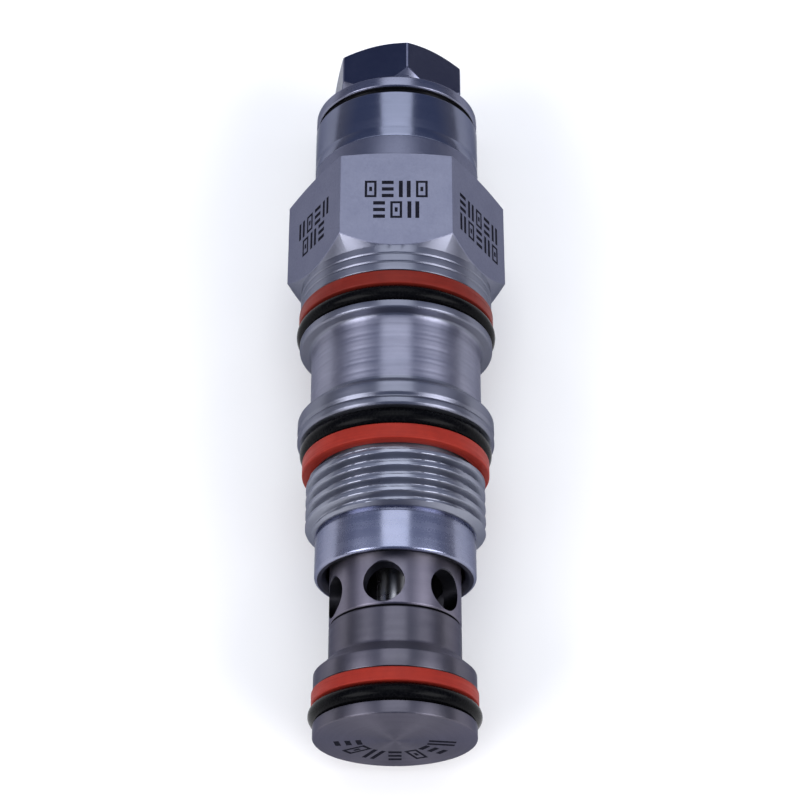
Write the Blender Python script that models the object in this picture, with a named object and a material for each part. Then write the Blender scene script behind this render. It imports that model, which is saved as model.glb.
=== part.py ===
"""Hydraulic screw-in relief cartridge valve, built as separate pieces.

The valve lies along +Y with its nose towards -Y. Lengths below are millimetres, and every z is
the distance from the nose face along the valve's own axis.
"""
import math

import bmesh
import bpy
from mathutils import Matrix, Vector

MM = 0.001
SEG = 48            # facets round an outer piece
SEG_IN = 24         # facets round an inner piece
HALF_FACET = 180.0 / SEG    # turns a ring so that a facet, not a corner, faces down

# Overall
LENGTH = 85.7
# The upper O-ring is what meets the floor, on one of its facets
AXIS_HEIGHT = 11.5 * math.cos(math.pi / SEG)

# Screw-in body
SKIRT_R = 8.88
THREAD_R = 10.0
THREAD_ROOT_R = 9.17
THREAD_PITCH = 1.5
THREAD_START = 24.05
THREAD_CRESTS = 4
COLLAR_R = 11.12
NECK_R = 9.72
HEX_AF = 22.225
HEX_CORNER_R = 12.82
BARREL_R = 9.8
SOCKET_R = 7.6
CHAMBER_R = 6.6
CAP_BORE_R = 7.9
DRAIN_R = 1.6
DRAIN_Z = 41.7
DRAIN_ANGLES = (40.0, 90.0, 140.0)

# Nose and sleeve
NOSE_R = 8.72
SLEEVE_R = 7.18
SLEEVE_BORE_R = 5.4
PORT_R = 2.25
PORT_Z = 15.2
PORT_COUNT = 6
PORT_FIRST = -100.0         # just left of the side that faces up
JOINT_Z = 12.5

# Cap
CAP_FLANGE_R = 9.76
CAP_HEX_AF = 14.5
CAP_HEX_CORNER_R = 8.3
CAP_HEX_TURN = -81.0
CAP_CAVITY_R = 6.15
CAP_SPIGOT_R = 7.7

# Spring
SPRING_MEAN_R = 4.9
SPRING_WIRE_R = 0.95
SPRING_LOW = 39.2
SPRING_HIGH = 61.65
SPRING_TURNS = 8.0

STEEL = (0.62, 0.63, 0.70, 1.0)
HEX_STEEL = (0.50, 0.52, 0.62, 1.0)
DARK_STEEL = (0.30, 0.28, 0.36, 1.0)
BLACK_RUBBER = (0.012, 0.012, 0.014, 1.0)
RED_RING = (0.36, 0.055, 0.035, 1.0)
INNER_STEEL = (0.55, 0.55, 0.57, 1.0)
BRASS = (0.72, 0.53, 0.25, 1.0)


def clear_scene():
    for old in list(bpy.data.objects):
        bpy.data.objects.remove(old, do_unlink=True)


def material(name, colour, metallic, roughness):
    made = bpy.data.materials.new(name)
    made.use_nodes = True
    shader = made.node_tree.nodes["Principled BSDF"]
    shader.inputs["Base Color"].default_value = colour
    shader.inputs["Metallic"].default_value = metallic
    shader.inputs["Roughness"].default_value = roughness
    made.diffuse_color = colour
    return made


def to_world(x, y, z):
    """A point of the valve's own axes, relative to an origin on its axis at mid length."""
    return (x * MM, (z - LENGTH / 2) * MM, -y * MM)


def link(name, mesh, colour, metallic=1.0, roughness=0.35):
    made = bpy.data.objects.new(name, mesh)
    made.location = (0.0, 0.0, AXIS_HEIGHT * MM)
    mesh.materials.append(material(name + "_finish", colour, metallic, roughness))
    bpy.context.scene.collection.objects.link(made)
    return made


def hex_radius(angle, across_flats, turn, corner):
    """Radius of a hexagon at an angle. turn is the angle of one corner, in degrees."""
    away = (math.degrees(angle) - turn) % 60.0 - 30.0
    return min(across_flats / 2 / math.cos(math.radians(away)), corner)


def hexed(across_flats, turn, corner, z0, r0, slope):
    """A row of a turned profile that lies on a hexagon and on the cone through (z0, r0)."""

    def at(angle):
        radius = hex_radius(angle, across_flats, turn, corner)
        return z0 + (radius - r0) * slope, radius

    return at


def turned(name, profile, colour, segments=SEG, phase=0.0, **finish):
    """A solid of revolution. profile is a closed loop of (z, r) rows or hexed() rows.

    A row with r 0 is one point on the axis, and the loop may start and end with one.
    """
    shape = bmesh.new()
    rings = []
    for row in profile:
        ring = []
        for i in range(segments):
            angle = 2 * math.pi * i / segments + math.radians(phase)
            z, radius = row(angle) if callable(row) else row
            if radius == 0:
                ring = [shape.verts.new(to_world(0, 0, z))]
                break
            ring.append(shape.verts.new(to_world(radius * math.cos(angle), radius * math.sin(angle), z)))
        rings.append(ring)
    pairs = list(zip(rings, rings[1:] + rings[:1]))
    for low, high in pairs:
        if len(low) == 1 and len(high) == 1:
            continue
        for i in range(segments):
            j = (i + 1) % segments
            if len(low) == 1:
                shape.faces.new((low[0], high[i], high[j]))
            elif len(high) == 1:
                shape.faces.new((low[i], low[j], high[0]))
            else:
                shape.faces.new((low[i], low[j], high[j], high[i]))
    bmesh.ops.recalc_face_normals(shape, faces=shape.faces)
    mesh = bpy.data.meshes.new(name)
    shape.to_mesh(mesh)
    shape.free()
    return link(name, mesh, colour, **finish)


def ring_section(z, mean_r, half_width, half_height, points=8):
    """Rows of a rounded ring section, such as an O-ring's."""
    rows = []
    for i in range(points):
        turn = 2 * math.pi * i / points
        rows.append((z - half_width * math.cos(turn), mean_r + half_height * math.sin(turn)))
    return rows


def flat_ring(z0, z1, inner, outer, edge=0.12):
    """Rows of a plain ring with small outer chamfers."""
    return [(z0, inner), (z0, outer - edge), (z0 + edge, outer), (z1 - edge, outer), (z1, outer - edge),
        (z1, inner)]


def cut_round(target, angle_deg, z, radius, start, end, sides=24):
    """Drills a radial hole through target from radius start to radius end."""
    angle = math.radians(angle_deg)
    out = Vector(to_world(math.cos(angle), math.sin(angle), LENGTH / 2)).normalized()
    mesh = bpy.data.meshes.new(target.name + "_drill")
    shape = bmesh.new()
    bmesh.ops.create_cone(
        shape, cap_ends=True, segments=sides, radius1=radius * MM, radius2=radius * MM,
            depth=(end - start) * MM
    )
    turn = Vector((0, 0, 1)).rotation_difference(out).to_matrix().to_4x4()
    middle = Vector(to_world(0, 0, z)) + out * ((start + end) / 2 * MM)
    bmesh.ops.transform(shape, matrix=Matrix.Translation(middle) @ turn, verts=shape.verts)
    shape.to_mesh(mesh)
    shape.free()
    drill = bpy.data.objects.new(mesh.name, mesh)
    drill.location = target.location
    drill.hide_render = True
    drill.display_type = "WIRE"
    bpy.context.scene.collection.objects.link(drill)
    cut = target.modifiers.new("drill", "BOOLEAN")
    cut.operation = "DIFFERENCE"
    cut.solver = "EXACT"
    cut.object = drill


def thread_rows():
    rows = []
    for i in range(THREAD_CRESTS):
        crest = THREAD_START + 0.55 + i * THREAD_PITCH
        rows += [(crest - 0.5, THREAD_ROOT_R), (crest - 0.1, THREAD_R), (crest + 0.1, THREAD_R),
            (crest + 0.5, THREAD_ROOT_R)]
    return rows


def make_body():
    outside = [
        (18.1, 8.68), (18.3, SKIRT_R), (22.65, SKIRT_R), (22.75, 8.6), (23.05, 8.6), (23.3, THREAD_ROOT_R),
    ] + thread_rows() + [
        (30.0, THREAD_ROOT_R), (30.05, 9.0), (34.2, 9.0), (34.2, 10.95), (34.4, COLLAR_R),
        (35.0, COLLAR_R), (35.35, 10.85),
        (35.7, COLLAR_R), (37.0, COLLAR_R), (37.45, 10.75), (37.75, 10.0), (38.1, NECK_R), (45.9, NECK_R),
        (46.2, 9.95), (46.3, 10.9), (46.45, COLLAR_R), (47.25, COLLAR_R), (47.25, 9.35), (51.15, 9.35),
        (51.15, COLLAR_R), (54.4, COLLAR_R),
        hexed(HEX_AF, 0.0, HEX_CORNER_R, 54.4, COLLAR_R - 0.01, 0.9),
        hexed(HEX_AF, 0.0, HEX_CORNER_R, 66.9, COLLAR_R - 0.01, -0.25),
        (67.05, 10.75), (67.05, BARREL_R), (76.6, BARREL_R), (76.75, BARREL_R - 0.15),
    ]
    inside = [
        (76.75, CAP_BORE_R), (69.9, CAP_BORE_R), (69.9, CHAMBER_R), (34.5, CHAMBER_R), (34.5, 5.4),
        (33.5, 5.4),
        (33.5, 6.4), (29.3, 6.4), (29.3, SOCKET_R), (21.9, SOCKET_R), (21.9, 8.25), (20.6, 8.25),
        (20.6, SOCKET_R),
        (18.65, SOCKET_R), (18.1, 8.15),
    ]
    body = turned("valve_body", outside + inside, STEEL)
    for angle in DRAIN_ANGLES:
        cut_round(body, angle, DRAIN_Z, DRAIN_R, CHAMBER_R - 1.4, NECK_R + 1.5, 16)


def make_outer_seals():
    turned("upper_o_ring", ring_section(48.33, 10.45, 0.92, 1.05),
        BLACK_RUBBER, phase=HALF_FACET, metallic=0.0, roughness=0.45)
    turned("upper_backup_ring", flat_ring(49.37, 51.02, 9.5, 11.28),
        RED_RING, phase=HALF_FACET, metallic=0.0, roughness=0.5)
    turned("lower_backup_ring", flat_ring(30.45, 32.2, 9.15, 10.5),
        RED_RING, phase=HALF_FACET, metallic=0.0, roughness=0.5)
    turned("lower_o_ring", ring_section(33.2, 9.96, 0.96, 0.85),
        BLACK_RUBBER, phase=HALF_FACET, metallic=0.0, roughness=0.45)
    turned("nose_o_ring", ring_section(2.45, 8.2, 0.93, 1.05),
        BLACK_RUBBER, phase=HALF_FACET, metallic=0.0, roughness=0.45)
    turned("nose_backup_ring", flat_ring(3.5, 5.0, 7.1, 8.92),
        RED_RING, phase=HALF_FACET, metallic=0.0, roughness=0.5)


def make_nose():
    turned("nose_plug", [
        (0.0, 0.0), (0.0, 8.6), (0.12, NOSE_R), (1.4, NOSE_R), (1.4, 6.95), (5.1, 6.95), (5.1, 8.75),
        (6.95, 8.75),
        (8.4, SLEEVE_R), (12.25, SLEEVE_R), (12.38, SLEEVE_R - 0.15), (12.38, 6.6), (10.0, 6.6),
        (10.0, 4.0),
        (2.4, 4.0), (2.4, 0.0),
    ], STEEL)
    sleeve = turned("port_sleeve", [
        (10.3, SLEEVE_BORE_R), (10.3, 6.2), (10.5, 6.4), (12.62, 6.4), (12.62, SLEEVE_R - 0.15),
        (12.75, SLEEVE_R),
        (20.8, SLEEVE_R), (20.8, 6.5), (21.7, 6.5), (21.7, SLEEVE_R), (24.2, SLEEVE_R), (24.2, 6.25),
        (25.8, 6.25),
        (25.8, SLEEVE_R), (28.8, SLEEVE_R), (29.0, SLEEVE_R - 0.2), (29.0, SLEEVE_BORE_R),
    ], DARK_STEEL)
    for i in range(PORT_COUNT):
        cut_round(sleeve, PORT_FIRST + i * 360.0 / PORT_COUNT, PORT_Z, PORT_R, SLEEVE_BORE_R - 1.6,
            SLEEVE_R + 1.5)
    turned("sleeve_retaining_ring", [(20.95, 6.65), (20.95, 8.05), (21.55, 8.05),
        (21.55, 6.65)], INNER_STEEL, SEG_IN)
    turned("sleeve_o_ring", ring_section(25.0, 6.92, 0.6, 0.58, 8),
        BLACK_RUBBER, SEG_IN, metallic=0.0, roughness=0.5)


def make_poppet():
    turned("valve_seat", [
        (29.6, 2.9), (29.6, 6.0), (29.8, 6.2), (30.6, 6.2), (30.6, 5.1), (32.2, 5.1), (32.2, 6.2),
        (33.0, 6.2),
        (33.2, 6.0), (33.2, 2.9),
    ], INNER_STEEL, SEG_IN)
    turned("seat_o_ring", ring_section(31.4, 5.75, 0.62, 0.56, 8),
        BLACK_RUBBER, SEG_IN, metallic=0.0, roughness=0.5)
    turned("poppet", [
        (2.9, 0.0), (2.9, 1.35), (3.05, 1.5), (8.3, 1.5), (8.3, 2.0), (32.6, 2.0), (32.9, 2.3),
        (34.7, 4.1), (37.0, 4.1),
        (37.0, 2.2), (39.0, 2.2), (39.0, 0.0),
    ], INNER_STEEL, SEG_IN)
    turned("damping_piston", [
        (4.7, 1.65), (4.7, 3.7), (4.9, 3.9), (5.9, 3.9), (5.9, 3.6), (6.8, 3.6), (6.8, 3.9), (7.8, 3.9),
        (8.0, 3.7),
        (8.0, 1.65),
    ], BRASS, SEG_IN)
    turned("piston_nut", [
        (3.0, 1.65), hexed(5.0, 0.0, 2.9, 3.0, 2.5, 0.0), hexed(5.0, 0.0, 2.9, 4.4, 2.5, 0.0), (4.4, 1.65),
    ], INNER_STEEL, 24)
    turned("lower_spring_seat", [
        (37.3, 2.45), (37.3, 5.7), (37.5, 5.9), (38.9, 5.9), (38.9, 3.6), (41.2, 3.6), (41.5, 3.3),
        (41.5, 0.0),
        (39.3, 0.0), (39.3, 2.45),
    ], INNER_STEEL, SEG_IN)


def make_spring():
    """A round-wire compression spring whose end coils lie close."""
    turns = SPRING_TURNS
    steps = int(turns * 14)
    sides = 8
    bottom = SPRING_LOW + SPRING_WIRE_R
    span = SPRING_HIGH - SPRING_LOW - 2 * SPRING_WIRE_R
    close = 2 * SPRING_WIRE_R + 0.2
    open_pitch = (span - 2 * close) / (turns - 2)

    def height(turn):
        if turn <= 1:
            return close * turn
        if turn >= turns - 1:
            return span - close * (turns - turn)
        return close + open_pitch * (turn - 1)

    shape = bmesh.new()
    rings = []
    for i in range(steps + 1):
        turn = turns * i / steps
        angle = 2 * math.pi * turn
        ring = []
        for k in range(sides):
            around = 2 * math.pi * k / sides
            radius = SPRING_MEAN_R + SPRING_WIRE_R * math.cos(around)
            z = bottom + height(turn) + SPRING_WIRE_R * math.sin(around)
            ring.append(shape.verts.new(to_world(radius * math.cos(angle), radius * math.sin(angle), z)))
        rings.append(ring)
    for low, high in zip(rings, rings[1:]):
        for k in range(sides):
            n = (k + 1) % sides
            shape.faces.new((low[k], low[n], high[n], high[k]))
    shape.faces.new(rings[0])
    shape.faces.new(rings[-1])
    bmesh.ops.recalc_face_normals(shape, faces=shape.faces)
    mesh = bpy.data.meshes.new("main_spring")
    shape.to_mesh(mesh)
    shape.free()
    link("main_spring", mesh, INNER_STEEL)


def make_adjuster():
    turned("spring_shim", [(61.9, 4.0), (61.9, 5.9), (62.35, 5.9), (62.35, 4.0)], INNER_STEEL, SEG_IN)
    turned("upper_spring_seat", [
        (59.5, 0.0), (59.5, 3.3), (59.8, 3.6), (62.65, 3.6), (62.65, 6.2), (64.4, 6.2), (64.6, 6.0),
        (64.6, 1.95),
        (63.4, 1.95), (63.4, 0.0),
    ], INNER_STEEL, SEG_IN)
    ball = [(65.2 - 1.5 * math.cos(math.pi * i / 12),
        1.5 * math.sin(math.pi * i / 12)) for i in range(1, 12)]
    turned("thrust_ball", [(63.7, 0.0)] + ball + [(66.7, 0.0)], INNER_STEEL, 24)
    turned("adjuster_gland", [
        (66.0, 3.2), (66.0, 6.15), (66.2, 6.35), (66.6, 6.35), (66.6, 5.3), (67.8, 5.3), (67.8, 6.35),
        (70.2, 6.35),
        (70.2, 7.6), (72.4, 7.6), (72.4, 3.2), (70.0, 3.2), (70.0, 4.3), (68.5, 4.3), (68.5, 3.2),
    ], INNER_STEEL, SEG_IN)
    turned("gland_o_ring", ring_section(67.2, 5.94, 0.5, 0.52, 8),
        BLACK_RUBBER, SEG_IN, metallic=0.0, roughness=0.5)
    turned("adjuster_o_ring", ring_section(69.25, 3.68, 0.6, 0.52, 8),
        BLACK_RUBBER, SEG_IN, metallic=0.0, roughness=0.5)
    turned("adjusting_screw", [
        (66.95, 0.0), (66.95, 2.6), (67.35, 3.0), (79.8, 3.0), (80.2, 2.6),
        hexed(3.0, 0.0, 1.74, 80.2, 1.5, 0.0),
        hexed(3.0, 0.0, 1.74, 77.2, 1.5, 0.0), (76.6, 0.0),
    ], INNER_STEEL, 24)
    turned("lock_washer", [(72.7, 3.2), (72.7, 5.2), (73.2, 5.2), (73.2, 3.2)], INNER_STEEL, SEG_IN)
    turned("lock_nut", [
        (73.5, 3.2), (73.5, 4.8), hexed(10.0, 0.0, 5.7, 73.5, 4.8, 0.45),
        hexed(10.0, 0.0, 5.7, 76.9, 4.8, -0.45),
        (76.9, 4.8), (76.9, 3.2),
    ], INNER_STEEL, 24)


def make_cap():
    turned("cap_gasket", [(76.9, 7.9), (76.9, 9.45), (77.1, 9.55), (77.3, 9.45), (77.3, 7.9)], BLACK_RUBBER,
           metallic=0.0, roughness=0.5)
    turned("sealing_cap", [
        (72.8, CAP_CAVITY_R), (72.8, CAP_SPIGOT_R - 0.3), (73.1, CAP_SPIGOT_R), (77.5, CAP_SPIGOT_R),
        (77.5, CAP_FLANGE_R - 0.2),
        (77.65, CAP_FLANGE_R), (78.8, CAP_FLANGE_R), (79.0, CAP_FLANGE_R - 0.2), (79.15, 6.65),
        hexed(CAP_HEX_AF, CAP_HEX_TURN, CAP_HEX_CORNER_R, 79.75, 7.1, 1.4),
        hexed(CAP_HEX_AF, CAP_HEX_TURN, CAP_HEX_CORNER_R, 85.66, 7.1, -0.5),
        (LENGTH, 6.85), (LENGTH, 0.0), (83.7, 0.0), (83.7, CAP_CAVITY_R),
    ], HEX_STEEL, phase=CAP_HEX_TURN)


def main():
    clear_scene()
    make_body()
    make_outer_seals()
    make_nose()
    make_poppet()
    make_spring()
    make_adjuster()
    make_cap()


main()
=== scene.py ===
"""Looks of a screw-in relief cartridge valve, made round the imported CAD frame.

Lengths in the profiles are millimetres. z runs along the valve from its nose face, r from its
axis, and angles go round the axis with -90 degrees on the side that faces up.
"""
import math

import bmesh
import bpy
from mathutils import Matrix, Vector


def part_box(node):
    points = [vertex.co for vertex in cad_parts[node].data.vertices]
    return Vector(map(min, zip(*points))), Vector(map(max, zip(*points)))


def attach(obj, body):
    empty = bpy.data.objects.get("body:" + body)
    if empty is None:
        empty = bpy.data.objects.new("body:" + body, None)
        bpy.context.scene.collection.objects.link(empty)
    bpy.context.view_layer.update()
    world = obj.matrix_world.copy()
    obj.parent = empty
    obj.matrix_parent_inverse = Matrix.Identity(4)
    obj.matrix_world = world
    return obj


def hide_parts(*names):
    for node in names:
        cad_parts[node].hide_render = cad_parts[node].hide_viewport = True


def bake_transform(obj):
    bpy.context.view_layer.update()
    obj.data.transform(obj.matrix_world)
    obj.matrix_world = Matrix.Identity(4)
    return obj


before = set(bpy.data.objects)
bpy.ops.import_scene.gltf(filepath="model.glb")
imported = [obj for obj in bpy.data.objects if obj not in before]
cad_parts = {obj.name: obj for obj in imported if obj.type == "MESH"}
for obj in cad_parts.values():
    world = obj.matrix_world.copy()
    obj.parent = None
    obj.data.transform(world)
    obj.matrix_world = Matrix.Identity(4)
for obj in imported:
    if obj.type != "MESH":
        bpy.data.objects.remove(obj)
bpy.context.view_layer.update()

MM = 0.001
AXIS_HEIGHT = (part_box("upper_o_ring")[0].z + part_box("upper_o_ring")[1].z) / 2
NOSE_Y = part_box("nose_plug")[0].y
LENGTH = (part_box("sealing_cap")[1].y - NOSE_Y) / MM
FRONT = -90.0

ROUND = 192         # facets round an outer piece
ROUND_IN = 96       # facets round an inner piece

COLLAR_R = 11.12
HEX_AF = 22.225
HEX_CORNER_R = 12.82
CAP_HEX_AF = 14.5
CAP_HEX_CORNER_R = 8.3
CAP_HEX_TURN = -81.0
THREAD_PITCH = 1.5

# Radii and stations of the outer shape
BARREL_R = 9.8
NECK_R = 9.72
SKIRT_R = 8.88
SLEEVE_R = 7.18
NOSE_R = 8.72
HEX_LOW_Z = 54.4
HEX_HIGH_Z = 66.9

# Cross holes
FLARE = 0.12
PORT_Z = 15.2
PORT_R = 2.25
PORT_TURNS = [-100.0 + 60.0 * k for k in range(6)]
DRILLING_Z = 41.7
DRILLING_R = 1.6
DRILLING_TURNS = (40.0, 90.0, 140.0)

# Flank and crest of a thread, as shares of its pitch
THREAD_CREST = 0.13
THREAD_FLANK = 0.27
EASE_STEPS = 5      # points that round one corner of a profile


# ---------------------------------------------------------------- geometry

def to_world(x, y, z):
    """A point of the valve's own axes, in the row frame."""
    return Vector((x * MM, NOSE_Y + z * MM, AXIS_HEIGHT - y * MM))


def polar(radius, degrees, z):
    angle = math.radians(degrees)
    return to_world(radius * math.cos(angle), radius * math.sin(angle), z)


def hex_radius(degrees, across_flats, turn, corner):
    """Radius of a hexagon at an angle. turn is the angle of one corner."""
    away = (degrees - turn) % 60.0 - 30.0
    return min(across_flats / 2 / math.cos(math.radians(away)), corner)


class Hexed:
    """A row of a turned profile that lies on a hexagon and on the cone through (z0, r0)."""

    def __init__(self, across_flats, turn, corner, z0, r0, slope, inset=0.0, shift=0.0):
        self.across_flats = across_flats
        self.turn = turn
        self.corner = corner
        self.z0 = z0
        self.r0 = r0
        self.slope = slope
        self.inset = inset
        self.shift = shift

    def at(self, degrees):
        radius = hex_radius(degrees, self.across_flats, self.turn, self.corner)
        return self.z0 + (radius - self.r0) * self.slope + self.shift, radius - self.inset


def ring_angles(count, turn=None):
    """Even angles round the axis, with a few more at each corner of a hexagon."""
    angles = {round(360.0 * i / count, 4) for i in range(count)}
    if turn is not None:
        for k in range(6):
            for extra in (-1.0, -0.75, -0.45, -0.2, 0.0, 0.2, 0.45, 0.75, 1.0):
                angles.add(round((turn + 60.0 * k + extra) % 360.0, 4))
    return sorted(angles)


def eased(rows):
    """Rounds each (z, r, fillet) corner of a closed profile.

    Rows without a fillet stay as they are.
    """
    made = []
    count = len(rows)
    for i, row in enumerate(rows):
        if not isinstance(row, tuple) or len(row) < 3:
            made.append(row[:2] if isinstance(row, tuple) else row)
            continue
        earlier = (rows[(i - k) % count] for k in range(1, count))
        later = (rows[(i + k) % count] for k in range(1, count))
        before = next(r for r in earlier if isinstance(r, tuple))
        after = next(r for r in later if isinstance(r, tuple))
        here = Vector(row[:2])
        to_before = Vector(before[:2]) - here
        to_after = Vector(after[:2]) - here
        reach = min(row[2], to_before.length * 0.49, to_after.length * 0.49)
        start = here + to_before.normalized() * reach
        end = here + to_after.normalized() * reach
        for k in range(EASE_STEPS):
            t = k / (EASE_STEPS - 1)
            point = start * (1 - t) ** 2 + here * 2 * t * (1 - t) + end * t ** 2
            made.append((point.x, point.y))
    return made


def finish_mesh(name, shape, materials, sharp=32.0):
    bmesh.ops.remove_doubles(shape, verts=shape.verts, dist=1e-8)
    bmesh.ops.recalc_face_normals(shape, faces=shape.faces)
    mesh = bpy.data.meshes.new(name)
    shape.to_mesh(mesh)
    shape.free()
    for made in materials:
        mesh.materials.append(made)
    for face in mesh.polygons:
        face.use_smooth = True
    mesh.set_sharp_from_angle(angle=math.radians(sharp))
    piece = bpy.data.objects.new(name, mesh)
    bpy.context.scene.collection.objects.link(piece)
    return piece


def turned(name, rows, materials, count=ROUND, turn=None):
    """A solid of revolution from a closed loop of rows.

    A row is (z, r), (z, r, fillet), a Hexed row, or an int: the material of the faces after it.
    """
    angles = ring_angles(count, turn)
    total = len(angles)
    shape = bmesh.new()
    profile = []
    bands = []
    current = 0
    plain = []
    for row in rows:
        if isinstance(row, int):
            plain.append(("use", row))
        else:
            plain.append(row)
    solid = [row for row in plain if not (isinstance(row, tuple) and row[0] == "use")]
    rounded = eased(solid)
    starts = []
    position = 0
    for row in plain:
        if isinstance(row, tuple) and row[0] == "use":
            starts.append((position, row[1]))
        else:
            position += EASE_STEPS if isinstance(row, tuple) and len(row) == 3 else 1
    for index, row in enumerate(rounded):
        for start, use in starts:
            if start == index:
                current = use
        bands.append(current)
        ring = []
        for degrees in angles:
            z, radius = row.at(degrees) if isinstance(row, Hexed) else row
            if radius == 0:
                ring = [shape.verts.new(to_world(0, 0, z))]
                break
            ring.append(shape.verts.new(polar(radius, degrees, z)))
        profile.append(ring)
    for index, low in enumerate(profile):
        high = profile[(index + 1) % len(profile)]
        if len(low) == 1 and len(high) == 1:
            continue
        for i in range(total):
            j = (i + 1) % total
            if len(low) == 1:
                face = shape.faces.new((low[0], high[i], high[j]))
            elif len(high) == 1:
                face = shape.faces.new((low[i], low[j], high[0]))
            else:
                face = shape.faces.new((low[i], low[j], high[j], high[i]))
            face.material_index = bands[index]
    return finish_mesh(name, shape, materials)


def o_ring(name, z, mean_r, half_width, half_height, made, points=28):
    """A rubber ring of oval section."""
    rows = []
    for i in range(points):
        turn = 2 * math.pi * i / points
        rows.append((z - half_width * math.cos(turn), mean_r + math.sin(turn) * half_height))
    return turned(name, rows, [made])


def flat_ring(z0, z1, inner, outer, ease=0.18):
    return [(z0, inner, 0.05), (z0, outer, ease), (z1, outer, ease), (z1, inner, 0.05)]


def thread_form(phase, crest, flank):
    """Height 0 to 1 of a thread at a phase of -0.5 to 0.5 of its pitch."""
    away = abs(phase)
    height = 1.0 - (away - crest) / flank
    height = max(0.0, min(1.0, height))
    return height * height * (3 - 2 * height) * 0.35 + height * 0.65


def threaded(name, z0, z1, root, top, pitch, phase_z, made, chamfer_low, chamfer_high, step=0.05):
    """A helical right-hand thread on a tube, its ends cut back by a chamfer."""
    inner = root - 0.35
    count = ROUND
    shape = bmesh.new()
    steps = max(2, int(round((z1 - z0) / step)))
    grid = []
    for k in range(steps + 1):
        z = z0 + (z1 - z0) * k / steps
        ring = []
        for i in range(count):
            degrees = 360.0 * i / count
            # A right-hand thread moves along +z as it turns the positive way about +z
            turns = (z - phase_z) / pitch - (degrees - FRONT) / 360.0
            phase = turns - math.floor(turns + 0.5)
            radius = root + (top - root) * thread_form(phase, THREAD_CREST, THREAD_FLANK)
            limit_low = root - 0.1 + (z - z0) * chamfer_low
            limit_high = root - 0.1 + (z1 - z) * chamfer_high
            radius = max(inner + 0.1, min(radius, limit_low, limit_high))
            ring.append(shape.verts.new(polar(radius, degrees, z)))
        grid.append(ring)
    inside = []
    for z in (z1, z0):
        inside.append([shape.verts.new(polar(inner, 360.0 * i / count, z)) for i in range(count)])
    rings = grid + inside
    for index, low in enumerate(rings):
        high = rings[(index + 1) % len(rings)]
        for i in range(count):
            j = (i + 1) % count
            shape.faces.new((low[i], low[j], high[j], high[i]))
    return finish_mesh(name, shape, [made], sharp=50.0)


def drill(target, degrees, z, radius, start, end, flare, surface, inside, sides=48):
    """Cuts a radial hole, with a small countersink where it meets the outer surface."""
    out = (polar(1.0, degrees, 0.0) - to_world(0, 0, 0)).normalized()
    along = Vector((0, 1, 0))
    across = out.cross(along)
    centre = to_world(0, 0, z)
    slope = end - surface + flare
    shape = bmesh.new()
    rings = []
    for height, reach in ((start, radius), (surface - flare, radius), (end, radius + slope)):
        ring = []
        for i in range(sides):
            turn = 2 * math.pi * (i + 0.3) / sides
            offset = out * height + across * reach * math.cos(turn) + along * reach * math.sin(turn)
            ring.append(shape.verts.new(centre + offset * MM))
        rings.append(ring)
    for low, high in zip(rings, rings[1:]):
        for i in range(sides):
            j = (i + 1) % sides
            shape.faces.new((low[i], low[j], high[j], high[i]))
    shape.faces.new(rings[0])
    shape.faces.new(rings[-1])
    bmesh.ops.recalc_face_normals(shape, faces=shape.faces)
    mesh = bpy.data.meshes.new("cutter")
    shape.to_mesh(mesh)
    shape.free()
    for face in mesh.polygons:
        face.material_index = inside
        face.use_smooth = True
    cutter = bpy.data.objects.new("cutter", mesh)
    bpy.context.scene.collection.objects.link(cutter)
    cut = target.modifiers.new("cut", "BOOLEAN")
    cut.operation = "DIFFERENCE"
    cut.solver = "EXACT"
    cut.object = cutter
    return cutter


def apply_modifiers(target, cutters, sharp=32.0):
    """Makes the cuts final and takes the cutters away."""
    bpy.context.view_layer.update()
    graph = bpy.context.evaluated_depsgraph_get()
    made = bpy.data.meshes.new_from_object(target.evaluated_get(graph))
    target.modifiers.clear()
    target.data = made
    for cutter in cutters:
        bpy.data.objects.remove(cutter, do_unlink=True)
    made.set_sharp_from_angle(angle=math.radians(sharp))


def place(piece, body, slot, *nodes):
    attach(piece, body)
    if nodes:
        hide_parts(*nodes)
    return piece


# ---------------------------------------------------------------- materials

EDGE_TINT = (0.45, 0.46, 0.52, 1.0)


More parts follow.
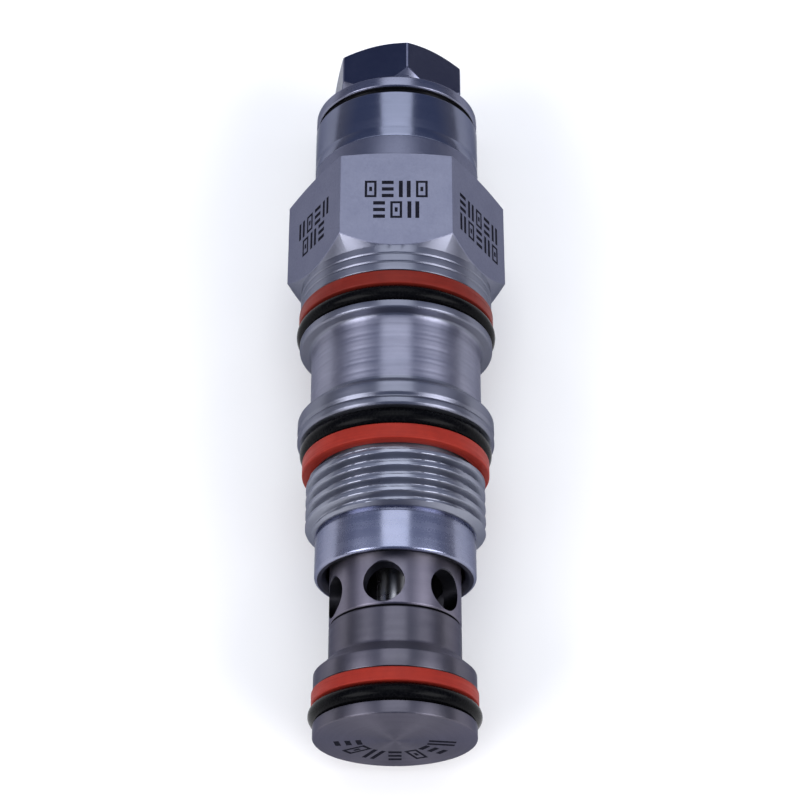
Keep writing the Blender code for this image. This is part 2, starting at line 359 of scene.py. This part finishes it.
class Graph:
    """A short way to write shader nodes."""

    def __init__(self, name):
        self.made = bpy.data.materials.new(name)
        self.made.use_nodes = True
        self.nodes = self.made.node_tree.nodes
        self.links = self.made.node_tree.links
        self.shader = self.nodes["Principled BSDF"]

    def put(self, socket, value):
        if isinstance(value, bpy.types.NodeSocket):
            self.links.new(value, socket)
        else:
            socket.default_value = value

    def math(self, operation, a, b=0.0, c=0.0):
        node = self.nodes.new("ShaderNodeMath")
        node.operation = operation
        self.put(node.inputs[0], a)
        self.put(node.inputs[1], b)
        self.put(node.inputs[2], c)
        return node.outputs[0]

    def vector(self, x, y, z):
        node = self.nodes.new("ShaderNodeCombineXYZ")
        for socket, value in zip(node.inputs, (x, y, z)):
            self.put(socket, value)
        return node.outputs[0]

    def noise(self, vector, scale=1.0, detail=3.0, roughness=0.55):
        node = self.nodes.new("ShaderNodeTexNoise")
        self.put(node.inputs["Vector"], vector)
        node.inputs["Scale"].default_value = scale
        node.inputs["Detail"].default_value = detail
        node.inputs["Roughness"].default_value = roughness
        return node.outputs["Fac"]

    def ranged(self, value, low, high, to_low, to_high):
        node = self.nodes.new("ShaderNodeMapRange")
        for socket, number in zip(node.inputs, (value, low, high, to_low, to_high)):
            self.put(socket, number)
        return node.outputs[0]

    def mix(self, share, a, b):
        node = self.nodes.new("ShaderNodeMix")
        node.data_type = "RGBA"
        self.put(node.inputs[0], share)
        self.put(node.inputs[6], a)
        self.put(node.inputs[7], b)
        return node.outputs[2]

    def bump(self, height, strength, distance):
        node = self.nodes.new("ShaderNodeBump")
        node.inputs["Strength"].default_value = strength
        node.inputs["Distance"].default_value = distance
        self.put(node.inputs["Height"], height)
        return node.outputs[0]

    def comb_round(self, amount):
        """Tool rings run round the axis, so a highlight spreads along it."""
        tangent = self.nodes.new("ShaderNodeTangent")
        tangent.direction_type = "RADIAL"
        tangent.axis = "Y"
        self.links.new(tangent.outputs[0], self.shader.inputs["Tangent"])
        self.shader.inputs["Anisotropic"].default_value = amount
        self.shader.inputs["Anisotropic Rotation"].default_value = 0.25
        self.shader.inputs["Specular Tint"].default_value = EDGE_TINT

    def around(self):
        """Along, angle and radius of a point about the valve's axis, in millimetres and radians."""
        place_node = self.nodes.new("ShaderNodeTexCoord")
        split = self.nodes.new("ShaderNodeSeparateXYZ")
        self.links.new(place_node.outputs["Object"], split.inputs[0])
        along = self.math("MULTIPLY", split.outputs["Y"], 1000.0)
        across = self.math("MULTIPLY", split.outputs["X"], 1000.0)
        up = self.math("MULTIPLY", self.math("SUBTRACT", split.outputs["Z"], AXIS_HEIGHT), 1000.0)
        squares = self.math("ADD", self.math("POWER", across, 2.0), self.math("POWER", up, 2.0))
        radius = self.math("SQRT", squares)
        angle = self.math("ARCTAN2", across, up)
        return along, angle, radius, across, up

    def in_space(self, across, along, up, scale):
        """A noise vector that is even in all directions. scale is per millimetre."""
        return self.vector(
            self.math("MULTIPLY", along, scale),
            self.math("MULTIPLY", across, scale),
            self.math("MULTIPLY", up, scale),
        )


def turned_metal(name, colour, stain, roughness, spread=0.08, rings=0.5, ring_mm=0.12,
                 depth=0.004, streak=0.5, brushed=0.6):
    """Plated steel with fine tool rings round it, cloudy plating and small streaks."""
    g = Graph(name)
    along, angle, radius, across, up = g.around()
    side = g.math("MULTIPLY", g.math("COSINE", angle), streak)
    other = g.math("MULTIPLY", g.math("SINE", angle), streak)
    line = g.math("ADD", along, radius)
    fine = g.noise(g.vector(g.math("MULTIPLY", line, 1.0 / ring_mm), side, other), 1.0, 3.0, 0.65)
    broad = g.noise(g.vector(g.math("MULTIPLY", line, 0.25 / ring_mm), side, other), 1.0, 2.0, 0.5)
    cloud = g.noise(g.in_space(across, along, up, 0.22),
                    1.0, 4.0, 0.6)
    grain = g.noise(g.in_space(across, along, up, 6.0),
                    1.0, 2.0, 0.5)
    tone = g.mix(g.ranged(cloud, 0.35, 0.7, 0.0, 1.0), colour, stain)
    darker = tuple(c * 0.8 for c in colour[:3]) + (1.0,)
    tone = g.mix(g.ranged(fine, 0.3, 0.75, 0.35, 0.0), tone, darker)
    g.put(g.shader.inputs["Base Color"], tone)
    uneven = g.math("ADD", broad, g.math("MULTIPLY", grain, 0.5))
    rough = g.ranged(uneven, 0.4, 1.1, roughness - spread, roughness + spread)
    g.put(g.shader.inputs["Roughness"], rough)
    g.shader.inputs["Metallic"].default_value = 1.0
    height = g.math("ADD", fine, g.math("MULTIPLY", broad, 0.7))
    g.put(g.shader.inputs["Normal"], g.bump(height, rings, depth * MM))
    g.comb_round(brushed)
    return g.made


def milled_metal(name, colour, stain, roughness, spread=0.08, grain_mm=0.25, depth=0.004,
                 strength=0.5):
    """Plated steel with an even blasted or rolled grain."""
    g = Graph(name)
    along, angle, radius, across, up = g.around()
    per = 1.0 / grain_mm
    grain = g.noise(g.in_space(across, along, up, per),
                    1.0, 3.0, 0.6)
    cloud = g.noise(g.in_space(across, along, up, 0.3),
                    1.0, 4.0, 0.6)
    tone = g.mix(g.ranged(cloud, 0.35, 0.7, 0.0, 1.0), colour, stain)
    g.put(g.shader.inputs["Base Color"], tone)
    rough = g.ranged(grain, 0.3, 0.7, roughness - spread, roughness + spread)
    g.put(g.shader.inputs["Roughness"], rough)
    g.shader.inputs["Metallic"].default_value = 1.0
    g.put(g.shader.inputs["Normal"], g.bump(grain, strength, depth * MM))
    g.shader.inputs["Specular Tint"].default_value = EDGE_TINT
    return g.made


def rubber(name, colour, roughness=0.42, gloss=0.5, ior=1.2):
    g = Graph(name)
    along, angle, radius, across, up = g.around()
    grain = g.noise(g.in_space(across, along, up, 4.0),
                    1.0, 4.0, 0.6)
    dust = tuple(min(1.0, c * 1.6 + 0.003) for c in colour[:3]) + (1.0,)
    g.put(g.shader.inputs["Base Color"], g.mix(g.ranged(grain, 0.45, 0.8, 0.0, 1.0), colour, dust))
    rough = g.ranged(grain, 0.3, 0.7, roughness - 0.08, roughness + 0.1)
    g.put(g.shader.inputs["Roughness"], rough)
    g.shader.inputs["Specular IOR Level"].default_value = gloss
    g.shader.inputs["IOR"].default_value = ior
    g.put(g.shader.inputs["Normal"], g.bump(grain, 0.25, 0.01 * MM))
    return g.made


def plastic_ring(name, colour, shade, roughness=0.4):
    g = Graph(name)
    along, angle, radius, across, up = g.around()
    line = g.math("MULTIPLY", g.math("ADD", along, radius), 5.0)
    streaks = g.noise(g.vector(line, g.math("COSINE", angle), g.math("SINE", angle)), 1.0, 3.0, 0.6)
    cloud = g.noise(g.in_space(across, along, up, 0.5),
                    1.0, 3.0, 0.6)
    share = g.math("ADD", g.math("MULTIPLY", streaks, 0.5), g.math("MULTIPLY", cloud, 0.5))
    tone = g.mix(g.ranged(share, 0.35, 0.65, 0.0, 1.0), colour, shade)
    g.put(g.shader.inputs["Base Color"], tone)
    rough = g.ranged(streaks, 0.3, 0.7, roughness - 0.07, roughness + 0.1)
    g.put(g.shader.inputs["Roughness"], rough)
    g.shader.inputs["Specular IOR Level"].default_value = 0.12
    g.put(g.shader.inputs["Normal"], g.bump(streaks, 0.3, 0.01 * MM))
    return g.made


BARREL = turned_metal(
    "zinc_barrel", (0.165, 0.175, 0.235, 1), (0.15, 0.16, 0.215, 1), 0.20, 0.04, 0.3, 0.16,
    brushed=0.3
)
COLLAR = turned_metal(
    "zinc_collar", (0.185, 0.19, 0.235, 1), (0.165, 0.172, 0.21, 1), 0.34, 0.06, 0.5, 0.14,
    brushed=0.85
)
NECK = turned_metal(
    "zinc_neck", (0.25, 0.25, 0.315, 1), (0.215, 0.22, 0.28, 1), 0.38, 0.07, 0.8, 0.20, brushed=0.92
)
SKIRT = turned_metal(
    "zinc_skirt", (0.25, 0.26, 0.345, 1), (0.21, 0.225, 0.31, 1), 0.27, 0.05, 0.5, 0.18,
    brushed=0.80
)
THREAD = turned_metal(
    "zinc_thread", (0.26, 0.27, 0.32, 1), (0.22, 0.23, 0.28, 1), 0.32, 0.06, 0.3, 0.10, brushed=0.7
)
FLATS = milled_metal("zinc_flats", (0.165, 0.17, 0.225, 1), (0.15, 0.155, 0.21, 1), 0.42, 0.06)
CAP = milled_metal(
    "zinc_cap", (0.095, 0.10, 0.145, 1), (0.08, 0.085, 0.13, 1), 0.20, 0.04, 0.5, 0.003, 0.3
)
CAP_BAND = turned_metal(
    "zinc_cap_band", (0.18, 0.185, 0.245, 1), (0.16, 0.165, 0.22, 1), 0.28, 0.05, 0.4, 0.16
)
SLEEVE = turned_metal(
    "dark_sleeve", (0.172, 0.159, 0.198, 1), (0.145, 0.137, 0.168, 1), 0.38, 0.06, 0.5, 0.16,
    brushed=0.88
)
NOSE = turned_metal(
    "dark_nose", (0.115, 0.108, 0.132, 1), (0.098, 0.094, 0.112, 1), 0.38, 0.06, 0.5, 0.16,
    brushed=0.88
)
BORE = turned_metal(
    "dark_bore", (0.055, 0.053, 0.062, 1), (0.04, 0.04, 0.048, 1), 0.4, 0.08, 0.5, 0.18
)
INNER = turned_metal(
    "plain_steel", (0.34, 0.34, 0.36, 1), (0.28, 0.28, 0.30, 1), 0.30, 0.06, 0.4, 0.10
)
SPRING = milled_metal("spring_steel", (0.34, 0.33, 0.33, 1), (0.27, 0.27, 0.28, 1), 0.35, 0.08, 0.4)
BRASS = turned_metal(
    "turned_brass", (0.60, 0.42, 0.19, 1), (0.50, 0.34, 0.15, 1), 0.28, 0.06, 0.4, 0.12
)
BLACK = rubber("black_rubber", (0.0012, 0.0012, 0.0016, 1), 0.24, 0.5, 1.12)
RED = plastic_ring("red_ring", (0.27, 0.022, 0.012, 1), (0.20, 0.016, 0.010, 1), 0.5)
# A darker copy of the red ring colour: painted shade on the upper backup ring, which sits between
# the upper seal and the collar.
SHADED_RED = plastic_ring("shaded_red_ring", (0.155, 0.014, 0.008, 1), (0.11, 0.010, 0.006, 1), 0.5)
INK = rubber("dark_ink", (0.008, 0.008, 0.012, 1), 0.8, 0.02)


# ---------------------------------------------------------------- outer metal pieces

def feed_marks(z0, z1, radius, pitch, depth):
    """Rows of shallow waves that a turning tool leaves, uneven from one to the next."""
    count = int((z1 - z0) / pitch)
    rows = []
    for i in range(count):
        low = z0 + (z1 - z0) * i / count
        cut = depth * (0.55 + 0.45 * math.sin(2.4 * i))
        for t in (0.0, 0.25, 0.5, 0.75):
            rows.append((low + pitch * t, radius - cut * math.sin(math.pi * t) ** 2))
    return rows


def make_body():
    low = (HEX_AF, 0.0, HEX_CORNER_R, HEX_LOW_Z, COLLAR_R - 0.01, 0.9)
    high = (HEX_AF, 0.0, HEX_CORNER_R, HEX_HIGH_Z, COLLAR_R - 0.01, -0.25)
    rows = [
        3, (18.1, 8.68, 0.12), (18.3, SKIRT_R, 0.12), (22.6, SKIRT_R, 0.06), (22.72, 8.6, 0.06),
        (23.05, 8.6), 4, (23.1, 9.1), (30.0, 9.1),
        (30.05, 9.0, 0.1), (34.2, 9.0, 0.1), 1, (34.2, 10.9, 0.1), (34.45, COLLAR_R, 0.1),
        (35.0, COLLAR_R, 0.1),
        (35.35, 10.82, 0.12), (35.7, COLLAR_R, 0.1), (37.0, COLLAR_R, 0.2), (37.45, 10.75, 0.25),
        (37.75, 10.0, 0.3),
        (38.1, NECK_R, 0.3), 2, *feed_marks(38.45, 45.45, NECK_R, 0.58, 0.035),
        (45.75, NECK_R, 0.25), 1, (46.2, 9.95, 0.3), (46.32, 10.95, 0.15),
        (46.5, COLLAR_R, 0.1), (47.25, COLLAR_R, 0.08), (47.25, 9.35, 0.1), (51.15, 9.35, 0.1),
        (51.15, COLLAR_R, 0.1),
        (52.1, COLLAR_R, 0.05), (52.25, 10.98, 0.08), (52.4, COLLAR_R, 0.05),
        (53.2, COLLAR_R, 0.05),
        (53.35, 10.99, 0.08), (53.5, COLLAR_R, 0.05), (54.35, COLLAR_R), 5,
        Hexed(*low, inset=0.06, shift=-0.03), Hexed(*low, shift=0.05), Hexed(*high, shift=-0.05),
        Hexed(*high, inset=0.06, shift=0.03), (67.05, 10.75, 0.05), (67.05, BARREL_R, 0.08), 0,
        (70.3, BARREL_R), (70.4, 9.77), (70.5, BARREL_R),
        (71.6, BARREL_R), (71.68, 9.78), (71.76, BARREL_R), (76.6, BARREL_R, 0.08),
        (76.75, 9.65, 0.06),
        6, (76.75, 7.9, 0.1), (69.9, 7.9), (69.9, 6.6), (34.5, 6.6), (34.5, 5.4), (33.5, 5.4),
        (33.5, 6.4),
        (29.3, 6.4), (29.3, 7.6), (21.9, 7.6), (21.9, 8.25), (20.6, 8.25), (20.6, 7.6),
        (18.65, 7.6, 0.08),
        (18.1, 8.15, 0.08),
    ]
    body = turned("body", rows, [BARREL, COLLAR, NECK, SKIRT, THREAD, FLATS, BORE], turn=0.0)
    cutters = []
    for degrees in DRILLING_TURNS:
        cutters.append(drill(body, degrees, DRILLING_Z, DRILLING_R, 5.0, 10.3, FLARE, NECK_R, 6))
    apply_modifiers(body, cutters)
    place(body, "valve_body", "zinc_steel", "valve_body")
    thread = threaded("body_thread", 23.08, 30.02, 9.17, 10.0, THREAD_PITCH, 24.6, THREAD, 1.6, 6.0)
    place(thread, "valve_body", "zinc_steel", "valve_body")


def make_nose():
    nose = turned("nose_plug_turned", [
        (0.0, 0.0), (0.0, 8.6, 0.05), (0.12, NOSE_R, 0.05), (1.4, NOSE_R, 0.08), (1.4, 6.95, 0.1),
        (5.1, 6.95, 0.1), (5.1, 8.75, 0.08),
        (6.95, 8.75, 0.12), (8.35, 7.25, 0.2), (8.6, SLEEVE_R, 0.2), (12.25, SLEEVE_R, 0.05),
        (12.38, 7.03), (12.38, 6.6), 1, (10.0, 6.6),
        (10.0, 4.0), (2.4, 4.0), (2.4, 0.0),
    ], [NOSE, BORE])
    place(nose, "nose_sleeve", "dark_steel", "nose_plug")
    sleeve = turned("port_sleeve_turned", [
        1, (10.3, 5.4), (10.3, 6.2), (10.5, 6.4), (12.62, 6.4), 0, (12.62, 7.03),
        (12.75, SLEEVE_R, 0.05), (20.8, SLEEVE_R), (20.8, 6.5),
        (21.7, 6.5), (21.7, SLEEVE_R), (24.2, SLEEVE_R), (24.2, 6.25), (25.8, 6.25),
        (25.8, SLEEVE_R), (28.8, SLEEVE_R), (29.0, 6.98),
        1, (29.0, 5.4),
    ], [SLEEVE, BORE])
    cutters = []
    for degrees in PORT_TURNS:
        cutters.append(drill(sleeve, degrees, PORT_Z, PORT_R, 4.7, 7.9, FLARE, SLEEVE_R, 1))
    apply_modifiers(sleeve, cutters)
    place(sleeve, "nose_sleeve", "dark_steel", "port_sleeve")


def make_cap():
    low = (CAP_HEX_AF, CAP_HEX_TURN, CAP_HEX_CORNER_R, 79.75, 7.1, 1.4)
    high = (CAP_HEX_AF, CAP_HEX_TURN, CAP_HEX_CORNER_R, 85.66, 7.1, -0.5)
    cap = turned("cap_turned", [
        2, (72.8, 6.15), (72.8, 7.2, 0.1), (77.5, 7.2), 0, (77.5, 9.56, 0.06), (77.65, 9.76, 0.06),
        (78.8, 9.76, 0.1),
        (79.0, 9.5, 0.15), (79.15, 6.65), 1, Hexed(*low, inset=0.06, shift=-0.04),
        Hexed(*low, shift=0.05),
        Hexed(*high, shift=-0.05), Hexed(*high, inset=0.06, shift=0.03), (LENGTH, 6.85, 0.06),
        (LENGTH, 0.0), (83.7, 0.0),
        2, (83.7, 6.15),
    ], [CAP_BAND, CAP, BORE], turn=CAP_HEX_TURN)
    place(cap, "sealing_cap", "cap_steel", "sealing_cap")
    spigot = threaded("cap_thread", 72.85, 77.0, 7.25, 7.7, 1.0, 75.0, CAP_BAND, 0.9, 2.0)
    place(spigot, "sealing_cap", "cap_steel", "sealing_cap")
    gasket = turned("cap_gasket_ring", [
        (76.9, 7.9), (76.9, 9.45), (77.1, 9.55), (77.3, 9.45), (77.3, 7.9),
    ], [BLACK])
    place(gasket, "cap_gasket", "black_rubber", "cap_gasket")


def make_seals():
    seals = (
        ("upper_seal", 48.33, 10.45, 0.92, 1.05, "valve_body", "upper_o_ring"),
        ("lower_seal", 33.2, 9.96, 0.96, 0.85, "valve_body", "lower_o_ring"),
        ("nose_seal", 2.45, 8.2, 0.93, 1.05, "nose_sleeve", "nose_o_ring"),
    )
    for name, z, mean_r, half_width, half_height, body, node in seals:
        seal = o_ring(name, z, mean_r, half_width, half_height, BLACK)
        place(seal, body, "black_rubber", node)
    backups = (
        # The upper backup ring gets the darker red copy, which is painted shade.
        ("upper_backup", (49.37, 51.02, 9.5, 11.28), SHADED_RED, "valve_body", "upper_backup_ring"),
        ("lower_backup", (30.45, 32.2, 9.15, 10.5), RED, "valve_body", "lower_backup_ring"),
        ("nose_backup", (3.5, 5.0, 7.1, 8.92), RED, "nose_sleeve", "nose_backup_ring"),
    )
    for name, section, made, body, node in backups:
        place(turned(name, flat_ring(*section), [made]), body, "red_ring", node)


def make_poppet():
    poppet = turned("poppet_turned", [
        (2.9, 0.0), (2.9, 1.35, 0.05), (3.05, 1.5, 0.05), (8.3, 1.5), (8.3, 2.0, 0.1),
        (32.6, 2.0, 0.1), (32.9, 2.3), (34.7, 4.1, 0.1),
        (37.0, 4.1, 0.1), (37.0, 2.2), (39.0, 2.2, 0.1), (39.0, 0.0),
    ], [INNER], ROUND_IN)
    place(poppet, "poppet_stack", "inner_steel", "poppet")


SPRING_MEAN_R = 4.9
SPRING_WIRE_R = 0.95
SPRING_LOW = 39.2
SPRING_HIGH = 61.65
SPRING_TURNS = 8.0


def coil(name, first_turn, last_turn, sides=16, steps_a_turn=36):
    """Part of the round-wire spring, from one turn to another, its cut ends closed."""
    span = SPRING_HIGH - SPRING_LOW - 2 * SPRING_WIRE_R
    close = 2 * SPRING_WIRE_R + 0.2
    open_pitch = (span - 2 * close) / (SPRING_TURNS - 2)
    steps = int(round((last_turn - first_turn) * steps_a_turn))
    shape = bmesh.new()
    rings = []
    for i in range(steps + 1):
        turn = first_turn + (last_turn - first_turn) * i / steps
        if turn <= 1:
            height = close * turn
        elif turn >= SPRING_TURNS - 1:
            height = span - close * (SPRING_TURNS - turn)
        else:
            height = close + open_pitch * (turn - 1)
        ring = []
        for k in range(sides):
            around = 2 * math.pi * k / sides
            radius = SPRING_MEAN_R + SPRING_WIRE_R * math.cos(around)
            z = SPRING_LOW + SPRING_WIRE_R + height + SPRING_WIRE_R * math.sin(around)
            ring.append(shape.verts.new(polar(radius, 360.0 * turn, z)))
        rings.append(ring)
    for low, high in zip(rings, rings[1:]):
        for k in range(sides):
            n = (k + 1) % sides
            shape.faces.new((low[k], low[n], high[n], high[k]))
    shape.faces.new(rings[0])
    shape.faces.new(rings[-1])
    return finish_mesh(name, shape, [SPRING])


def make_main_spring():
    """The spring in two halves that meet at a still middle.
    """
    lower = coil("main_spring_lower", 0.0, SPRING_TURNS / 2)
    upper = coil("main_spring_upper", SPRING_TURNS / 2, SPRING_TURNS)
    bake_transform(lower)
    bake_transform(upper)
    for half in (lower, upper):
        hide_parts("main_spring")


MARK_DEEP = 0.03
MARK_PROUD = 0.012
STROKE = 0.45
GLYPH_TALL = 2.25
GLYPH_WIDE = 1.35
NOSE_MARKS_R = 5.0


def add_bar(shape, place_at, u0, w0, u1, w1):
    """One raised bar of a mark. place_at turns (across, along, proud) into a point."""
    outline = ((u0, w0), (u1, w0), (u1, w1), (u0, w1))
    corners = [place_at(u, w, h) for h in (-MARK_DEEP, MARK_PROUD) for u, w in outline]
    made = [shape.verts.new(c) for c in corners]
    ends = ((0, 1, 2, 3), (4, 7, 6, 5))
    sides = ((0, 4, 5, 1), (1, 5, 6, 2), (2, 6, 7, 3), (3, 7, 4, 0))
    for face in ends + sides:
        shape.faces.new([made[i] for i in face])


def add_box(shape, place_at, u0, w0, u1, w1, thin):
    """The raised outline of a rectangle."""
    loops = []
    for h in (-MARK_DEEP, MARK_PROUD):
        for inset in (0.0, thin):
            left, right = u0 + inset, u1 - inset
            low, high = w0 + inset, w1 - inset
            corners = ((left, low), (right, low), (right, high), (left, high))
            loops.append([shape.verts.new(place_at(u, w, h)) for u, w in corners])
    deep_out, deep_in, proud_out, proud_in = loops
    walls = ((deep_out, deep_in), (deep_in, proud_in), (proud_in, proud_out), (proud_out, deep_out))
    for one, two in walls:
        for i in range(4):
            j = (i + 1) % 4
            shape.faces.new((one[i], one[j], two[j], two[i]))


def add_glyph(shape, place_at, kind, u, w):
    """A plain sign about the point (u, w): three dashes, two bars, or a box round a dot."""
    left, right = u - GLYPH_WIDE / 2, u + GLYPH_WIDE / 2
    low, high = w - GLYPH_TALL / 2, w + GLYPH_TALL / 2
    if kind == "dashes":
        for middle in (low + STROKE / 2, w, high - STROKE / 2):
            add_bar(shape, place_at, left, middle - STROKE / 2, right, middle + STROKE / 2)
    elif kind == "bars":
        add_bar(shape, place_at, left, low, left + STROKE, high)
        add_bar(shape, place_at, right - STROKE, low, right, high)
    elif kind == "dotted_box":
        thin = STROKE * 0.62
        add_box(shape, place_at, left, low, right, high, thin)
        add_bar(shape, place_at, u - 0.17, w - 0.3, u + 0.17, w + 0.3)


def make_marks():
    """Plain signs where the real part carries its stamped data."""
    rows = {
        -90.0: ((61.9, ("dotted_box", "dashes", "bars", "dotted_box")),
                (59.1, ("dashes", "dotted_box", "bars"))),
        -150.0: ((61.4, ("bars", "dotted_box", "dashes", "bars")),
                 (58.7, ("dotted_box", "bars", "dashes"))),
        -30.0: ((61.4, ("dashes", "bars", "dotted_box", "dashes", "bars")),
                (58.7, ("bars", "dotted_box", "dashes", "bars", "dotted_box"))),
    }
    for index, (degrees, lines) in enumerate(rows.items()):
        angle = math.radians(degrees)
        out = Vector((math.cos(angle), math.sin(angle), 0.0))
        across = Vector((-math.sin(angle), math.cos(angle), 0.0))

        def place_at(u, w, proud, out=out, across=across):
            point = out * (HEX_AF / 2 + proud) + across * u
            return to_world(point.x, point.y, w)

        shape = bmesh.new()
        for z, kinds in lines:
            pitch = 1.95
            for i, kind in enumerate(kinds):
                add_glyph(shape, place_at, kind, (i - (len(kinds) - 1) / 2) * pitch, z)
        place(finish_mesh(f"flat_marks_{index}", shape, [INK]), "valve_body", "zinc_steel")

    shape = bmesh.new()
    kinds = ("bars", "dashes", "dotted_box", "dashes", "bars", "dotted_box", "dashes")
    for i, kind in enumerate(kinds):
        angle = math.radians(90.0 + (i - 3) * 27.0)
        out = Vector((math.cos(angle), math.sin(angle), 0.0))
        across = Vector((-math.sin(angle), math.cos(angle), 0.0))

        def place_at(u, w, proud, out=out, across=across):
            point = out * (NOSE_MARKS_R + w * 1.3) + across * u * 1.05
            return to_world(point.x, point.y, -proud)

        add_glyph(shape, place_at, kind, 0.0, 0.0)
    place(finish_mesh("nose_marks", shape, [INK]), "nose_sleeve", "dark_steel")


def finish_cad_nodes():
    """The inner pieces keep their CAD shapes and get their own materials."""
    looks = {
        "damping_piston": BRASS, "seat_o_ring": BLACK, "sleeve_o_ring": BLACK,
        "gland_o_ring": BLACK, "adjuster_o_ring": BLACK,
    }
    for name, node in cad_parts.items():
        if node.hide_render:
            continue
        node.data.materials.clear()
        node.data.materials.append(looks.get(name, INNER))


# ---------------------------------------------------------------- stage

def make_stage():
    floor_shape = bmesh.new()
    bmesh.ops.create_grid(floor_shape, x_segments=1, y_segments=1, size=3.0)
    mesh = bpy.data.meshes.new("floor")
    floor_shape.to_mesh(mesh)
    floor_shape.free()
    floor = bpy.data.objects.new("floor", mesh)
    floor.location = (0, 0, -0.0002)
    bpy.context.scene.collection.objects.link(floor)
    g = Graph("pale_floor")
    g.shader.inputs["Base Color"].default_value = (0.88, 0.86, 0.81, 1)
    g.shader.inputs["Roughness"].default_value = 0.9
    mesh.materials.append(g.made)

    world = bpy.data.worlds.new("studio")
    world.use_nodes = True
    bpy.context.scene.world = world
    bpy.context.scene.view_settings.view_transform = "Standard"
    nodes = world.node_tree.nodes
    links = world.node_tree.links
    back = nodes["Background"]
    back.inputs["Strength"].default_value = 0.36
    toward = nodes.new("ShaderNodeTexCoord")
    split = nodes.new("ShaderNodeSeparateXYZ")
    links.new(toward.outputs["Generated"], split.inputs[0])
    height = nodes.new("ShaderNodeMapRange")
    height.inputs["From Min"].default_value = 0.0
    height.inputs["From Max"].default_value = 0.45
    links.new(split.outputs["Z"], height.inputs["Value"])
    sky = nodes.new("ShaderNodeMix")
    sky.data_type = "RGBA"
    links.new(height.outputs[0], sky.inputs[0])
    sky.inputs[6].default_value = (1.05, 1.05, 1.2, 1)
    sky.inputs[7].default_value = (0.46, 0.58, 1.0, 1)
    links.new(sky.outputs[2], back.inputs["Color"])
    seen = nodes.new("ShaderNodeBackground")
    seen.inputs["Color"].default_value = (0.95, 0.95, 0.96, 1)
    seen.inputs["Strength"].default_value = 0.95
    path = nodes.new("ShaderNodeLightPath")
    mix = nodes.new("ShaderNodeMixShader")
    links.new(path.outputs["Is Camera Ray"], mix.inputs[0])
    links.new(back.outputs[0], mix.inputs[1])
    links.new(seen.outputs[0], mix.inputs[2])
    links.new(mix.outputs[0], nodes["World Output"].inputs["Surface"])

    def softbox(name, location, aim, width, height, power, colour=(1, 1, 1)):
        light = bpy.data.lights.new(name, "AREA")
        light.shape = "RECTANGLE"
        light.size = width
        light.size_y = height
        light.energy = power
        light.color = colour
        lamp = bpy.data.objects.new(name, light)
        lamp.location = location
        lamp.rotation_euler = (Vector(aim) - Vector(location)).to_track_quat("-Z", "Y").to_euler()
        bpy.context.scene.collection.objects.link(lamp)

    softbox("strip", (0, 0.42, 0.79), (0, 0, 0.01), 0.56, 0.9, 2.9, (0.95, 0.98, 1.0))
    softbox("canopy", (0, 0.02, 0.78), (0, 0, 0.01), 2.5, 0.50, 3.4, (0.96, 0.98, 1.0))
    softbox("behind_left", (-0.62, -0.40, 0.52), (0, 0, 0.01), 0.62, 0.50, 6.2, (0.98, 0.98, 1.0))
    softbox("behind_right", (0.62, -0.40, 0.52), (0, 0, 0.01), 0.62, 0.50, 6.2, (0.98, 0.98, 1.0))


CAMERA_PITCH = 28.0194
CAMERA_ROLL = 0.10
CAMERA_BACK = 207.11
CAMERA_Z = -69.72
CAMERA_X = 0.47
FOCAL_SHARE = 2054.88 / 800


def make_camera():
    camera = bpy.data.cameras.new("camera")
    camera.sensor_width = 36.0
    camera.lens = FOCAL_SHARE * 36.0
    camera.clip_start = 0.01
    seat = bpy.data.objects.new("camera", camera)
    tilt = math.radians(CAMERA_PITCH)
    forward = Vector((0, math.sin(tilt), -math.cos(tilt)))
    up = Vector((0, math.cos(tilt), math.sin(tilt)))
    right = forward.cross(up)
    turn = Matrix((right, up, -forward)).transposed()
    roll = Matrix.Rotation(math.radians(CAMERA_ROLL), 3, "Z")
    stand = Matrix.Translation(to_world(CAMERA_X, -CAMERA_BACK, CAMERA_Z))
    seat.matrix_world = stand @ (turn @ roll).to_4x4()
    bpy.context.scene.collection.objects.link(seat)
    bpy.context.scene.camera = seat


make_camera()
make_body()
make_nose()
make_cap()
make_seals()
make_poppet()
make_main_spring()
make_marks()
finish_cad_nodes()
make_stage()
